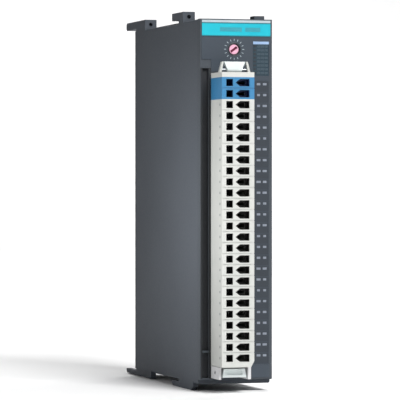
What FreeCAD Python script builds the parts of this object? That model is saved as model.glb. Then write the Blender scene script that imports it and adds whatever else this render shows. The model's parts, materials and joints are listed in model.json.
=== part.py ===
import FreeCAD, Part
import math
import os
import re
import Sketcher

# A narrow slice of a modular controller: a tall case that pushes onto a backplane, with a
# coding selector and indicators above a long pluggable terminal block.
# Drawing axes: X from the left side, Y rearward from the front panel, Z up from the underside.
# The frame's origin is the centre of the rear face, so every sub-part is placed back by
# half the width, the whole depth and half the height.

DIMENSIONS = {
    # case
    "case_width": 27.5, "case_depth": 91.5, "case_height": 133.0, "wall": 1.6,
    "edge_radius": 0.8, "parting": 20.0, "bezel_thick": 3.0, "bezel_lift": 1.7,
    "rear_thick": 2.0, "fit_gap": 0.1,
    # tabs that stand above and below the case on the left side
    "tab_width": 4.6, "foot_width": 2.0, "tab_rise": 3.75, "tab_blade": 3.0, "tab_reach": 13.0,
    "tab_start": 76.0,
    "foot_drop": 2.75, "rear_foot_drop": 2.4, "foot_blade": 1.7, "rear_foot_start": 67.5,
    "hook_start": 22.4, "hook_neck": 28.3, "hook_end": 37.5, "hook_slot": 1.0,
    "foot_slot": 0.75, "foot_start": 9.0, "dimple_radius": 0.75,
    "stop_left": 21.5, "stop_width": 3.9, "stop_rise": 1.4, "stop_length": 5.0,
    "heel_reach": 0.7, "heel_low": 1.3, "heel_high": 5.6, "heel_length": 6.0,
    # vents
    "vent_width": 1.6, "vent_length": 13.0, "vent_pitch": 4.0, "vent_count": 11.0,
    "vent_left": 5.0, "vent_first": 24.0,
    # case screws and their posts
    "post_radius": 2.6, "post_front": 16.0, "post_rear": 85.0, "post_edge": 4.6,
    "screw_radius": 1.2, "screw_head_radius": 2.2, "screw_head": 1.4, "screw_length": 12.0,
    # terminal plug
    "ways": 26.0, "power_ways": 2.0, "pitch": 3.96, "first_way": 10.35,
    "plug_left": 4.08, "plug_width": 12.2, "plug_reach": 14.0, "plug_low": 7.05,
    "plug_stand": 0.3, "plug_insert": 7.0, "insert_inset": 1.25, "cap_thick": 1.8,
    "corner_rise": 2.2, "corner_cut": 1.2, "groove_wide": 0.3, "groove_deep": 0.25,
    "key_left": 5.75, "key_width": 2.5, "key_height": 2.55,
    "funnel_tip": 9.23, "funnel_shoulder": 10.92, "funnel_right": 14.46, "funnel_height": 2.65,
    "funnel_depth": 3.0, "throat_left": 10.7, "throat_right": 13.7, "throat_height": 1.7,
    "chamber_left": 5.9, "chamber_right": 14.4, "chamber_height": 1.9, "chamber_front": 9.0,
    # terminal header
    "header_left": 4.2, "header_right": 19.4, "header_low": 2.4, "header_high": 114.5,
    "header_front": 0.4, "header_back": 11.0, "header_floor": 2.0, "socket_left": 5.2,
    "socket_right": 15.2, "socket_top": 113.25, "tower_reach": 10.0, "tower_top": 6.85,
    "post_left": 5.1, "post_right": 15.1, "tower_right": 16.3, "tower_pocket": 0.3,
    "relief_left": 16.6, "relief_right": 18.6,
    "pin_middle": 10.2, "pin_size": 0.8, "pin_front": 2.5, "pin_back": 16.0,
    # ejector levers
    "lever_middle": 9.95, "lever_axis": 5.0, "lever_reach": 10.3, "lever_pin_radius": 0.7,
    "lever_play": 0.05, "lever_level": 4.75, "lever_heel": 1.55,
    "lever_wide": 8.8, "lever_narrow": 8.0, "grip_depth": 0.5, "grip_wide": 0.6,
    # pull tab and its arms on the plug's end cap
    "pull_front": 10.0, "pull_thick": 1.6, "pull_rise": 3.9, "pull_lift": 1.1,
    "pull_wide": 8.1, "pull_narrow": 5.6, "pull_pin_radius": 0.3, "pull_heel": 0.8,
    "arm_foot": 0.2, "arm_foot_wide": 0.95, "arm_head": 1.25, "arm_head_wide": 0.65,
    # selector
    "dial_x": 12.9, "dial_z": 121.95, "dial_radius": 1.75, "collar_radius": 2.15,
    "collar_hole": 2.25, "dial_play": 0.06, "dial_face": 0.1, "dial_back": 3.0,
    "dial_slot_wide": 0.9, "dial_slot_deep": 0.8, "dial_slot_turn": 38.0,
    "selector_front": 3.2, "selector_size": 9.6,
    # front overlay, labels and indicator window
    "overlay_thick": 0.2, "overlay_edge": 0.4, "overlay_low": 118.2, "overlay_top": 126.5,
    "overlay_step": 114.0,
    "column_left": 19.6, "column_right": 26.3, "column_low": 2.3,
    "label_thick": 0.25, "name_left": 0.72, "name_right": 26.74, "name_low": 126.7,
    "name_high": 131.6, "lip_low": 131.7, "lip_high": 132.55, "marks_left": 20.5,
    "marks_right": 26.1, "marks_low": 7.2, "marks_high": 110.4, "lens_left": 20.0,
    "lens_right": 26.2, "lens_low": 112.4,
    "lens_high": 124.2, "lens_front": 0.1, "lens_back": 1.8, "chamfer": 0.2,
    "rear_chamfer": 0.3,
    "channel_left": 0.9, "channel_right": 3.3, "channel_deep": 1.4, "channel_low": 12.4,
    "channel_high": 115.0, "toe_channel_low": 2.4, "toe_channel_high": 11.6,
    # boards
    "board_left": 10.6, "board_thick": 1.6, "board_front": 11.2, "board_rear": 88.0,
    "board_low": 7.8, "board_high": 125.2, "standoff_radius": 2.2, "standoff_front": 22.0,
    "standoff_rear": 76.0, "standoff_low": 12.0, "standoff_high": 121.0,
    "board_screw_radius": 0.9, "board_head_radius": 1.9, "board_head": 1.2,
    "front_board_y": 9.4, "front_board_thick": 1.2, "link_size": 5.5,
    # connector to the backplane
    "bus_right": 19.4, "bus_front": 80.0, "bus_reach": 2.5, "bus_low": 84.0, "bus_high": 124.0,
    "bus_slot": 3.4, "bus_slot_deep": 9.0, "bus_contacts": 16.0, "bus_pitch": 2.2,
    # packages on the main board
    "chip_front": 58.0, "chip_low": 60.0, "chip_size": 14.0, "chip_thick": 1.4,
    "isolator_front": 26.0, "isolator_low": 20.0, "isolator_length": 6.5,
    "isolator_height": 4.5, "isolator_thick": 2.2, "isolator_columns": 2.0,
    "isolator_rows": 8.0, "isolator_column_pitch": 12.0, "isolator_row_pitch": 11.5,
    "converter_front": 54.0, "converter_length": 20.0, "converter_low": 84.0,
    "converter_height": 28.0, "converter_thick": 9.0, "converter_edge": 0.6,
    "capacitor_y": 62.0, "capacitor_low": 22.0, "capacitor_pitch": 11.0,
    "capacitor_count": 3.0, "capacitor_radius": 4.0, "capacitor_tall": 10.5,
    # contacts and clamp springs in the plug
    "contact_width": 1.5, "contact_leaf": 0.3, "contact_front": 2.6, "spring_thick": 0.3,
    "spring_width": 1.5, "spring_back": 3.3, "spring_heel": 6.9, "spring_tail": 13.4,
    "spring_nose_x": 6.5, "spring_nose": 8.2, "spring_tip_x": 12.8, "spring_tip": 5.4,
    # earth clip
    "clip_left": 4.5, "clip_width": 4.0, "clip_thick": 0.4, "clip_low": 14.0, "clip_high": 26.0,
    "clip_reach": 1.8,
}


def fill_sheet(document):
    """Write every driving dimension into the spreadsheet, one named cell each."""
    sheet = document.addObject("Spreadsheet::Sheet", "dims")
    for row, (alias, value) in enumerate(DIMENSIONS.items(), start=1):
        sheet.set(f"A{row}", alias)
        sheet.set(f"B{row}", str(value))
        sheet.setAlias(f"B{row}", alias)
    document.recompute()
    return sheet


doc = FreeCAD.newDocument("io_module")
sheet = fill_sheet(doc)
dim = {alias: float(sheet.get(alias)) for alias in DIMENSIONS}


def bound(expression):
    """Turn a formula of dimension names into one that reads the spreadsheet's cells."""
    names = re.compile(r"[a-z_][a-z_0-9]*")
    return names.sub(lambda found: f"dims.{found.group()}" if found.group() in dim
                     else found.group(), str(expression))


# ---------------------------------------------------------------- drafting helpers

def place(item):
    """Move a finished sub-part from the drawing axes to the frame at the rear face."""
    item.setExpression(".Placement.Base.x", bound("-case_width / 2"))
    item.setExpression(".Placement.Base.y", bound("-case_depth"))
    item.setExpression(".Placement.Base.z", bound("-case_height / 2"))
    return item


def new_body(name):
    """Start one sub-part as a PartDesign body with its own label."""
    item = doc.addObject("PartDesign::Body", name)
    item.Label = name
    return item


def rectangle(left, low, right, high):
    """Outline of a rectangle from its two corners."""
    return [(left, low), (right, low), (right, high), (left, high)]


def circle(across, up, radius):
    """Outline of a full circle."""
    return (across, up, radius)


def add_polygon(sketch, points):
    """Draw a closed polygon whose corners are all bound to formulas."""
    first = sketch.GeometryCount
    count = len(points)
    start = [FreeCAD.Vector(math.cos(math.tau * i / count), math.sin(math.tau * i / count), 0)
             for i in range(count)]
    sketch.addGeometry([Part.LineSegment(start[i], start[(i + 1) % count])
                        for i in range(count)], False)
    sketch.addConstraint([Sketcher.Constraint("Coincident", first + i, 2,
                                              first + (i + 1) % count, 1)
                          for i in range(count)])
    for index, (across, up) in enumerate(points):
        corner = start[index]
        for kind, formula, value in (("DistanceX", across, corner.x),
                                     ("DistanceY", up, corner.y)):
            number = sketch.addConstraint(Sketcher.Constraint(kind, first + index, 1, value))
            sketch.setExpression(f"Constraints[{number}]", bound(formula))


def add_circle(sketch, across, up, radius):
    """Draw a circle whose centre and radius are bound to formulas."""
    first = sketch.GeometryCount
    sketch.addGeometry(Part.Circle(FreeCAD.Vector(1, 1, 0), FreeCAD.Vector(0, 0, 1), 1), False)
    for kind, formula in (("DistanceX", across), ("DistanceY", up)):
        number = sketch.addConstraint(Sketcher.Constraint(kind, first, 3, 1.0))
        sketch.setExpression(f"Constraints[{number}]", bound(formula))
    number = sketch.addConstraint(Sketcher.Constraint("Radius", first, 1.0))
    sketch.setExpression(f"Constraints[{number}]", bound(radius))


# Which way a sketch on each origin plane faces along its own axis.
FACING = {"YZ_Plane": 1, "XZ_Plane": -1, "XY_Plane": 1}


def new_sketch(item, plane, name, level, outlines):
    """Draw outlines on one of the body's origin planes, moved along its axis to a level."""
    sketch = item.newObject("Sketcher::SketchObject", name)
    base = next(one for one in item.Origin.OriginFeatures if one.Role == plane)
    sketch.AttachmentSupport = (base, [""])
    sketch.MapMode = "FlatFace"
    sign = "" if FACING[plane] > 0 else "-"
    sketch.setExpression("AttachmentOffset.Base.z", f"{sign}({bound(level)})")
    for outline in outlines:
        if isinstance(outline, tuple):
            add_circle(sketch, *outline)
        else:
            add_polygon(sketch, outline)
    return sketch


def pad(item, plane, low, high, *outlines):
    """Add material between two levels along the plane's axis."""
    name = f"{item.Name}_pad{len(item.Group)}"
    level = low if FACING[plane] > 0 else high
    feature_sketch = new_sketch(item, plane, f"{name}_sketch", level, outlines)
    feature = item.newObject("PartDesign::Pad", name)
    feature.Profile = feature_sketch
    feature.setExpression("Length", bound(f"({high}) - ({low})"))
    doc.recompute()
    return feature


def pocket(item, plane, low, high, *outlines):
    """Remove material between two levels along the plane's axis, and prove it was removed."""
    before = item.Shape.Volume
    name = f"{item.Name}_cut{len(item.Group)}"
    level = high if FACING[plane] > 0 else low
    feature_sketch = new_sketch(item, plane, f"{name}_sketch", level, outlines)
    feature = item.newObject("PartDesign::Pocket", name)
    feature.Profile = feature_sketch
    feature.setExpression("Length", bound(f"({high}) - ({low})"))
    doc.recompute()
    if item.Shape.Volume > before - 1e-6:
        raise RuntimeError(f"{name} removed nothing")
    return feature


def repeat(item, features, axis, spacing, count):
    """Repeat features in a row along one of the body's axes."""
    pattern = item.newObject("PartDesign::LinearPattern", f"{item.Name}_row{len(item.Group)}")
    pattern.Originals = features
    line = next(one for one in item.Origin.OriginFeatures if one.Role == axis)
    pattern.Direction = (line, [""])
    pattern.Mode = "Spacing"
    pattern.setExpression("Offset", bound(spacing))
    pattern.setExpression("Occurrences", bound(count))
    item.Tip = pattern
    doc.recompute()
    return pattern


def soften(item, kind, size, chosen):
    """Fillet or chamfer the edges of the latest feature that a test picks out."""
    base = item.Tip
    names = [f"Edge{number}" for number, edge in enumerate(base.Shape.Edges, start=1)
             if chosen(edge)]
    feature = item.newObject(f"PartDesign::{kind}", f"{item.Name}_{kind.lower()}")
    feature.Base = (base, names)
    feature.setExpression("Radius" if kind == "Fillet" else "Size", bound(size))
    doc.recompute()
    return feature


def along(edge, axis):
    """True where a straight edge runs along an axis."""
    if not isinstance(edge.Curve, Part.Line):
        return False
    return abs(abs(edge.Curve.Direction.dot(axis)) - 1) < 1e-6


def group(name, solids):
    """Make one sub-part from separate identical solids worked out in code."""
    item = doc.addObject("Part::Feature", name)
    item.Label = name
    item.Shape = Part.makeCompound(solids)
    return item


def block(left, front, low, right, rear, high):
    """A box between two corners, for the repeated small pieces."""
    return Part.makeBox(right - left, rear - front, high - low,
                        FreeCAD.Vector(left, front, low))


def rod(x, y, z, radius, length, axis):
    """A cylinder from a point along an axis."""
    return Part.makeCylinder(radius, length, FreeCAD.Vector(x, y, z), axis)


RIGHT = FreeCAD.Vector(1, 0, 0)
REARWARD = FreeCAD.Vector(0, 1, 0)
UPWARD = FreeCAD.Vector(0, 0, 1)
POSTS = [(y, z) for y in ("post_front", "post_rear")
         for z in ("post_edge", "case_height - post_edge")]
STANDOFFS = [(y, z) for y in ("standoff_front", "standoff_rear")
             for z in ("standoff_low", "standoff_high")]


# ---------------------------------------------------------------- case

def vents(item, low, high):
    """Cut a row of slots in a wall that lies between two heights."""
    slot = pocket(item, "XY_Plane", low, high,
                  rectangle("vent_left", "vent_first",
                            "vent_left + vent_length", "vent_first + vent_width"))
    return repeat(item, [slot], "Y_Axis", "vent_pitch", "vent_count")


def left_shell():
    """Deep half of the case, with the tabs, the screw posts and the board standoffs."""
    item = new_body("left_shell")
    front, rear = "bezel_thick", "case_depth - rear_thick"
    pad(item, "YZ_Plane", "0", "parting", rectangle(front, "0", rear, "case_height"))
    soften(item, "Fillet", "edge_radius",
           lambda edge: along(edge, REARWARD) and edge.CenterOfMass.x < 1e-6)
    pocket(item, "YZ_Plane", "wall", "parting",
           rectangle(front, "wall", rear, "case_height - wall"))
    top, deep = "case_height + tab_rise", "case_height - wall"
    pad(item, "YZ_Plane", "0", "tab_width",
        [("tab_start", deep), (rear, deep), (rear, "case_height + tab_rise - tab_blade"),
         ("case_depth + tab_reach - tab_blade / 4", "case_height + tab_rise - tab_blade"),
         ("case_depth + tab_reach", "case_height + tab_rise - 3 * tab_blade / 4"),
         ("case_depth + tab_reach", "case_height + tab_rise - tab_blade / 4"),
         ("case_depth + tab_reach - tab_blade / 4", top), ("tab_start", top)])
    pad(item, "YZ_Plane", "0", "tab_width",
        [("hook_start", deep), ("hook_neck", deep), ("hook_neck", "case_height + hook_slot"),
         ("hook_end", "case_height + hook_slot"), ("hook_end", top), ("hook_start", top)])
    pad(item, "YZ_Plane", "0", "foot_width",
        [("rear_foot_start", "-rear_foot_drop"),
         ("case_depth + tab_reach - foot_blade / 2", "-rear_foot_drop"),
         ("case_depth + tab_reach", "-rear_foot_drop + foot_blade / 2"),
         ("case_depth + tab_reach", "-rear_foot_drop + foot_blade"),
         (rear, "-rear_foot_drop + foot_blade"), (rear, "wall"), ("rear_foot_start", "wall")])
    pad(item, "YZ_Plane", "0", "foot_width",
        [("foot_start", "wall"), ("foot_start", "-0.5 * foot_drop"),
         ("foot_start + 1.2 * foot_drop", "-foot_drop"),
         ("hook_end - foot_blade / 2", "-foot_drop"),
         ("hook_end", "-foot_drop + foot_blade / 2"), ("hook_end", "-foot_slot"),
         ("hook_neck", "-foot_slot"), ("hook_neck", "wall")])
    for start in ("tab_start", "hook_start"):
        pocket(item, "XZ_Plane", start, f"{start} + 2 * dimple_radius",
               circle("tab_width / 2", "case_height + tab_rise / 2", "dimple_radius"))
    for y, z in POSTS:
        pad(item, "YZ_Plane", "wall", "parting", circle(y, z, "post_radius"))
        pocket(item, "YZ_Plane", "parting - screw_length", "parting",
               circle(y, z, "screw_radius + fit_gap / 2"))
    for y, z in STANDOFFS:
        pad(item, "YZ_Plane", "wall", "board_left", circle(y, z, "standoff_radius"))
        pocket(item, "YZ_Plane", "wall", "board_left",
               circle(y, z, "board_screw_radius + fit_gap / 2"))
    vents(item, "0", "wall")
    vents(item, "case_height - wall", "case_height")
    return place(item)


def right_shell():
    """Shallow half of the case, with the counterbored screw bosses."""
    item = new_body("right_shell")
    front, rear = "bezel_thick", "case_depth - rear_thick"
    pad(item, "YZ_Plane", "parting", "case_width", rectangle(front, "0", rear, "case_height"))
    soften(item, "Fillet", "edge_radius",
           lambda edge: along(edge, REARWARD) and edge.CenterOfMass.x > dim["case_width"] - 1e-6)
    pocket_sketch = rectangle(front, "wall", rear, "case_height - wall")
    pocket(item, "YZ_Plane", "parting", "case_width - wall", pocket_sketch)
    pad(item, "XY_Plane", "case_height - wall / 2", "case_height + stop_rise",
        rectangle("stop_left", front, "stop_left + stop_width", f"{front} + stop_length"))
    pad(item, "YZ_Plane", "case_width - wall / 2", "case_width + heel_reach",
        rectangle(front, "heel_low", f"{front} + heel_length", "heel_high"))
    for y, z in POSTS:
        pad(item, "YZ_Plane", "parting", "case_width - wall / 2", circle(y, z, "post_radius"))
        pocket(item, "YZ_Plane", "parting", "case_width",
               circle(y, z, "screw_radius + fit_gap / 2"))
        pocket(item, "YZ_Plane", "case_width - screw_head - fit_gap", "case_width",
               circle(y, z, "screw_head_radius + fit_gap"))
    return place(item)


def front_bezel():
    """Front frame with the openings for the header, selector and indicator window."""
    item = new_body("front_bezel")
    pad(item, "XZ_Plane", "0", "bezel_thick",
        rectangle("0", "bezel_lift", "case_width", "case_height"))
    soften(item, "Chamfer", "chamfer",
           lambda edge: edge.CenterOfMass.y < 1e-6 and edge.CenterOfMass.z > 1)
    pocket(item, "XZ_Plane", "0", "bezel_thick",
           rectangle("header_left - fit_gap", "header_low - fit_gap",
                     "header_right + fit_gap", "socket_top + fit_gap"),
           circle("dial_x", "dial_z", "collar_hole"),
           rectangle("lens_left - fit_gap / 2", "lens_low - fit_gap / 2",
                     "lens_right + fit_gap / 2", "lens_high + fit_gap / 2"))
    pocket(item, "XZ_Plane", "0", "channel_deep",
           rectangle("channel_left", "channel_low", "channel_right", "channel_high"),
           rectangle("channel_left", "toe_channel_low", "channel_right", "toe_channel_high"))
    return place(item)


def rear_cover():
    """Back plate that seats on the backplane, open for the bus connector and earth clip."""
    item = new_body("rear_cover")
    pad(item, "XZ_Plane", "case_depth - rear_thick", "case_depth",
        rectangle("0", "0", "case_width", "case_height"))
    soften(item, "Chamfer", "rear_chamfer",
           lambda edge: edge.CenterOfMass.y > dim["case_depth"] - 1e-6)
    pocket(item, "XZ_Plane", "case_depth - rear_thick", "case_depth",
           rectangle("board_left + board_thick - fit_gap", "bus_low - fit_gap",
                     "bus_right + fit_gap", "bus_high + fit_gap"),
           rectangle("clip_left - fit_gap", "clip_low - fit_gap",
                     "clip_left + clip_width + fit_gap", "clip_high + fit_gap"))
    return place(item)


def case_screws():
    """Four screws that pull the two shells together."""
    solids = []
    tip = dim["parting"] - dim["screw_length"] + 1.0
    seat = dim["case_width"] - dim["screw_head"]
    for y in (dim["post_front"], dim["post_rear"]):
        for z in (dim["post_edge"], dim["case_height"] - dim["post_edge"]):
            shank = rod(tip, y, z, dim["screw_radius"], seat - tip, RIGHT)
            head = rod(seat, y, z, dim["screw_head_radius"], dim["screw_head"] - 0.1, RIGHT)
            drive = dim["screw_head_radius"] * 1.1
            slots = [block(seat + 0.5, y - a, z - b, seat + 2, y + a, z + b)
                     for a, b in ((drive / 2, 0.3), (0.3, drive / 2))]
            solids.append(shank.fuse(head).cut(Part.makeCompound(slots)).removeSplitter())
    return place(group("case_screws", solids))


# ---------------------------------------------------------------- front labels and window

def front_overlay():
    """Printed foil over the upper panel and down the right-hand column."""
    item = new_body("front_overlay")
    edge, right = "overlay_edge + chamfer", "case_width - overlay_edge - chamfer"
    pad(item, "XZ_Plane", "-overlay_thick", "0",
        [(edge, "overlay_low"), ("header_left", "overlay_low"), ("header_left", "overlay_step"),
         ("column_left", "overlay_step"), ("column_left", "column_low"),
         ("column_right", "column_low"), ("column_right", "overlay_low"), (right, "overlay_low"),
         (right, "overlay_top"), (edge, "overlay_top")])
    pocket(item, "XZ_Plane", "-overlay_thick", "0",
           rectangle("marks_left - fit_gap / 2", "marks_low - fit_gap",
                     "marks_right + fit_gap / 2", "marks_high + fit_gap"),
           rectangle("lens_left", "lens_low", "lens_right", "lens_high"),
           circle("dial_x", "dial_z", "collar_hole"))
    return place(item)


def plain_label(name, left, low, right, high):
    """A thin label in its own place on the panel."""
    item = new_body(name)
    pad(item, "XZ_Plane", "-label_thick", "0", rectangle(left, low, right, high))
    return place(item)


def indicator_lens():
    """Smoked window over the status lights."""
    item = new_body("indicator_lens")
    pad(item, "XZ_Plane", "-lens_front", "lens_back",
        rectangle("lens_left + fit_gap / 2", "lens_low + fit_gap / 2",
                  "lens_right - fit_gap / 2", "lens_high - fit_gap / 2"))
    return place(item)


def light_guide():
    """Clear block that carries each light to the window."""
    item = new_body("light_guide")
    pad(item, "XZ_Plane", "lens_back + fit_gap", "front_board_y - 1",
        rectangle("lens_left + 0.4", "lens_low + 0.4", "lens_right - 0.8", "lens_high - 0.4"))
    return place(item)


def status_leds():
    """Two columns of small lights on the front board."""
    rows, columns = 6, 2
    solids = []
    for row in range(rows):
        for column in range(columns):
            x = dim["lens_left"] + 1.5 + 2.6 * column
            z = dim["lens_low"] + 1.2 + row * (dim["lens_high"] - dim["lens_low"] - 2.4) / (rows - 1)
            solids.append(block(x - 0.5, dim["front_board_y"] - 0.7, z - 0.4,
                                x + 0.5, dim["front_board_y"], z + 0.4))
    return place(group("status_leds", solids))


# ---------------------------------------------------------------- selector

def selector_body():
    """Coding switch body with the round collar that the dial turns in."""
    item = new_body("selector_body")
    half = "selector_size / 2"
    pad(item, "XZ_Plane", "selector_front", "front_board_y",
        rectangle(f"dial_x - {half}", f"dial_z - {half} + 0.6", f"dial_x + {half}",
                  f"dial_z + {half}"))
    pad(item, "XZ_Plane", "0", "selector_front", circle("dial_x", "dial_z", "collar_radius"))
    pocket(item, "XZ_Plane", "0", "dial_back + dial_play",
           circle("dial_x", "dial_z", "dial_radius + dial_play"))
    return place(item)


def selector_dial():
    """Round rotor with a screwdriver slot across its face."""
    item = new_body("selector_dial")
    pad(item, "XZ_Plane", "dial_face", "dial_back", circle("dial_x", "dial_z", "dial_radius"))
    turn = math.radians(dim["dial_slot_turn"])
    ahead, aside = (math.cos(turn), math.sin(turn)), (-math.sin(turn), math.cos(turn))
    corners = []
    for reach, shift in ((-1, -1), (1, -1), (1, 1), (-1, 1)):
        across, up = (f"{reach * ahead[i]:.6f} * dial_radius * 0.84"
                      f" + {shift * aside[i]:.6f} * dial_slot_wide / 2" for i in (0, 1))
        corners.append((f"dial_x + {across}", f"dial_z + {up}"))
    pocket(item, "XZ_Plane", "dial_face", "dial_face + dial_slot_deep", corners)
    return place(item)


# ---------------------------------------------------------------- terminal header and levers

def terminal_header():
    """Socket frame on the board, with a tower at its foot that carries the ejector lever."""
    item = new_body("terminal_header")
    pad(item, "XZ_Plane", "bezel_thick + fit_gap", "header_back",
        rectangle("header_left", "header_low", "header_right", "header_high"))
    pad(item, "XZ_Plane", "header_front", "bezel_thick + fit_gap",
        rectangle("header_left", "header_low", "header_right", "socket_top"))
    pad(item, "XZ_Plane", "-tower_reach", "header_front",
        rectangle("header_left", "header_low", "tower_right", "tower_top"))
    pocket(item, "XZ_Plane", "-tower_reach", "tower_pocket",
           rectangle("post_left", "header_low - 1", "post_right", "tower_top + 1"))
    pocket(item, "XZ_Plane", "header_front", "header_back - header_floor",
           rectangle("socket_left", "tower_top", "socket_right", "socket_top"),
           rectangle("relief_left", "tower_top", "relief_right", "socket_top"))
    hole = pocket(item, "XZ_Plane", "header_back - header_floor", "header_back",
                  rectangle("pin_middle - pin_size / 2", "first_way - pin_size / 2",
                            "pin_middle + pin_size / 2", "first_way + pin_size / 2"))
    repeat(item, [hole], "Z_Axis", "pitch", "ways")
    pocket(item, "YZ_Plane", "header_left", "tower_right",
           circle("-lever_axis", "lever_level", "lever_pin_radius"))
    return place(item)


def header_pins():
    """One square pin for each way, from the socket to the main board."""
    half = dim["pin_size"] / 2
    solids = []
    for way in range(int(dim["ways"])):
        z = dim["first_way"] + way * dim["pitch"]
        solids.append(block(dim["pin_middle"] - half, dim["pin_front"], z - half,
                            dim["pin_middle"] + half, dim["pin_back"], z + half))
    return place(group("header_pins", solids))


def lower_lever():
    """Ejector: a finger tab on a round heel that turns on a cross pin in the tower."""
    item = new_body("lower_lever")
    pad(item, "XZ_Plane", "-lever_reach", "-lever_axis",
        [("lever_middle - lever_wide / 2", "lever_level - lever_heel"),
         ("lever_middle + lever_wide / 2", "lever_level - lever_heel"),
         ("lever_middle + lever_narrow / 2", "lever_level + lever_heel"),
         ("lever_middle - lever_narrow / 2", "lever_level + lever_heel")])
    left, right = "lever_middle - lever_narrow / 2", "lever_middle + lever_narrow / 2"
    pad(item, "YZ_Plane", left, right, circle("-lever_axis", "lever_level", "lever_heel"))
    pocket(item, "YZ_Plane", f"{left} - 1", f"{right} + 1",
           circle("-lever_axis", "lever_level", "lever_pin_radius + lever_play"))
    pocket(item, "XZ_Plane", "-lever_reach", "-lever_reach + grip_depth",
           rectangle("lever_middle - 0.36 * lever_narrow", "lever_level - grip_wide",
                     "lever_middle + 0.36 * lever_narrow", "lever_level + grip_wide"))
    return place(item)


def lever_pin():
    """Cross pin held in the tower."""
    left, right = dim["header_left"], dim["tower_right"]
    return place(group("lever_pin", [rod(left, -dim["lever_axis"], dim["lever_level"],
                                         dim["lever_pin_radius"], right - left, RIGHT)]))


# ---------------------------------------------------------------- terminal plug

def way_pockets(item, middle):
    """Cut one way: screwdriver hole, wire funnel and throat, and the chamber behind them."""
    front = "-plug_reach"
    chamber = pocket(item, "XZ_Plane", "-chamber_front", "plug_insert",
                     rectangle("chamber_left", f"{middle} - chamber_height / 2",
                               "chamber_right", f"{middle} + chamber_height / 2"))
    key = pocket(item, "XZ_Plane", front, "-chamber_front",
                 rectangle("key_left", f"{middle} - key_height / 2",
                           "key_left + key_width", f"{middle} + key_height / 2"))
    funnel = pocket(item, "XZ_Plane", front, f"{front} + funnel_depth",
                    [("funnel_tip", middle), ("funnel_shoulder", f"{middle} - funnel_height / 2"),
                     ("funnel_right", f"{middle} - funnel_height / 2"),
                     ("funnel_right", f"{middle} + funnel_height / 2"),
                     ("funnel_shoulder", f"{middle} + funnel_height / 2")])
    throat = pocket(item, "XZ_Plane", f"{front} + funnel_depth", "-chamber_front",
                    rectangle("throat_left", f"{middle} - throat_height / 2",
                              "throat_right", f"{middle} + throat_height / 2"))
    return [chamber, key, funnel, throat]


def plug_stock(item, low, high):
    """Plug body between two heights: the outer block and the narrower insert behind it."""
    right = "plug_left + plug_width"
    pad(item, "XZ_Plane", "-plug_reach", "-plug_stand", rectangle("plug_left", low, right, high))
    pad(item, "XZ_Plane", "-plug_stand", "plug_insert",
        rectangle("plug_left + insert_inset", f"{low} + fit_gap",
                  f"{right} - insert_inset", f"{high} - fit_gap"))


def side_groove(item, middle):
    """Shallow line between two ways, across the front and down the left side."""
    low, high = f"{middle} + pitch / 2 - groove_wide / 2", f"{middle} + pitch / 2 + groove_wide / 2"
    across = pocket(item, "XZ_Plane", "-plug_reach", "-plug_reach + groove_deep",
                    rectangle("plug_left", low, "plug_left + plug_width", high))
    return [across]


def plug_body():
    """White part of the plug, with the signal ways."""
    item = new_body("plug_body")
    plug_stock(item, "plug_low", "first_way + (ways - power_ways - 0.5) * pitch")
    right = "plug_left + plug_width"
    pocket(item, "XZ_Plane", "-plug_reach", "-plug_stand",
           [(right, "plug_low"), (right, "plug_low + corner_rise"),
            (f"{right} - corner_cut", "plug_low")])
    repeat(item, way_pockets(item, "first_way"), "Z_Axis", "pitch", "ways - power_ways")
    repeat(item, side_groove(item, "first_way"), "Z_Axis", "pitch", "ways - power_ways - 1")
    return place(item)


def power_section():
    """Coloured part of the plug, with the supply ways."""
    item = new_body("power_section")
    low, high = "first_way + (ways - power_ways - 0.5) * pitch", "first_way + (ways - 0.5) * pitch"
    plug_stock(item, low, high)
    first = "first_way + (ways - power_ways) * pitch"
    repeat(item, way_pockets(item, first), "Z_Axis", "pitch", "power_ways")
    side_groove(item, first)
    return place(item)


CAP_TOP = "first_way + (ways - 0.5) * pitch + cap_thick"
PULL_AXIS = "-pull_front + pull_thick / 2"
PULL_LEVEL = f"{CAP_TOP} + pull_lift"
PLUG_MIDDLE = "plug_left + plug_width / 2"


def plug_end_cap():
    """End piece that closes the top of the plug, with two slanted arms for the pull tab."""
    item = new_body("plug_end_cap")
    plug_stock(item, f"{CAP_TOP} - cap_thick", CAP_TOP)
    top = f"{CAP_TOP} + pull_rise"
    for side in ("-", "+"):
        edge = f"{PLUG_MIDDLE} {side} (plug_width / 2"
        pad(item, "XZ_Plane", "-pull_front", "-pull_front + pull_thick",
            [(f"{edge} - arm_foot)", f"{CAP_TOP} - 0.5"),
             (f"{edge} - arm_foot - arm_foot_wide)", f"{CAP_TOP} - 0.5"),
             (f"{edge} - arm_foot - arm_foot_wide)", CAP_TOP),
             (f"{edge} - arm_head - arm_head_wide)", top), (f"{edge} - arm_head)", top),
             (f"{edge} - arm_foot)", CAP_TOP)])
    pocket(item, "YZ_Plane", "plug_left + 0.6", "plug_left + plug_width - 0.6",
           circle(PULL_AXIS, PULL_LEVEL, "pull_pin_radius"))
    return place(item)


def upper_lever():
    """Pull tab that stands between the arms and folds forward on its pin."""
    item = new_body("upper_lever")
    pad(item, "XZ_Plane", "-pull_front", "-pull_front + pull_thick",
        [(f"{PLUG_MIDDLE} - pull_narrow / 2", PULL_LEVEL),
         (f"{PLUG_MIDDLE} + pull_narrow / 2", PULL_LEVEL),
         (f"{PLUG_MIDDLE} + pull_wide / 2", f"{CAP_TOP} + pull_rise"),
         (f"{PLUG_MIDDLE} - pull_wide / 2", f"{CAP_TOP} + pull_rise")])
    left, right = f"{PLUG_MIDDLE} - pull_narrow / 2", f"{PLUG_MIDDLE} + pull_narrow / 2"
    pad(item, "YZ_Plane", left, right, circle(PULL_AXIS, PULL_LEVEL, "pull_heel"))
    pocket(item, "YZ_Plane", f"{left} - 1", f"{right} + 1",
           circle(PULL_AXIS, PULL_LEVEL, "pull_pin_radius + lever_play"))
    return place(item)


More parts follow.
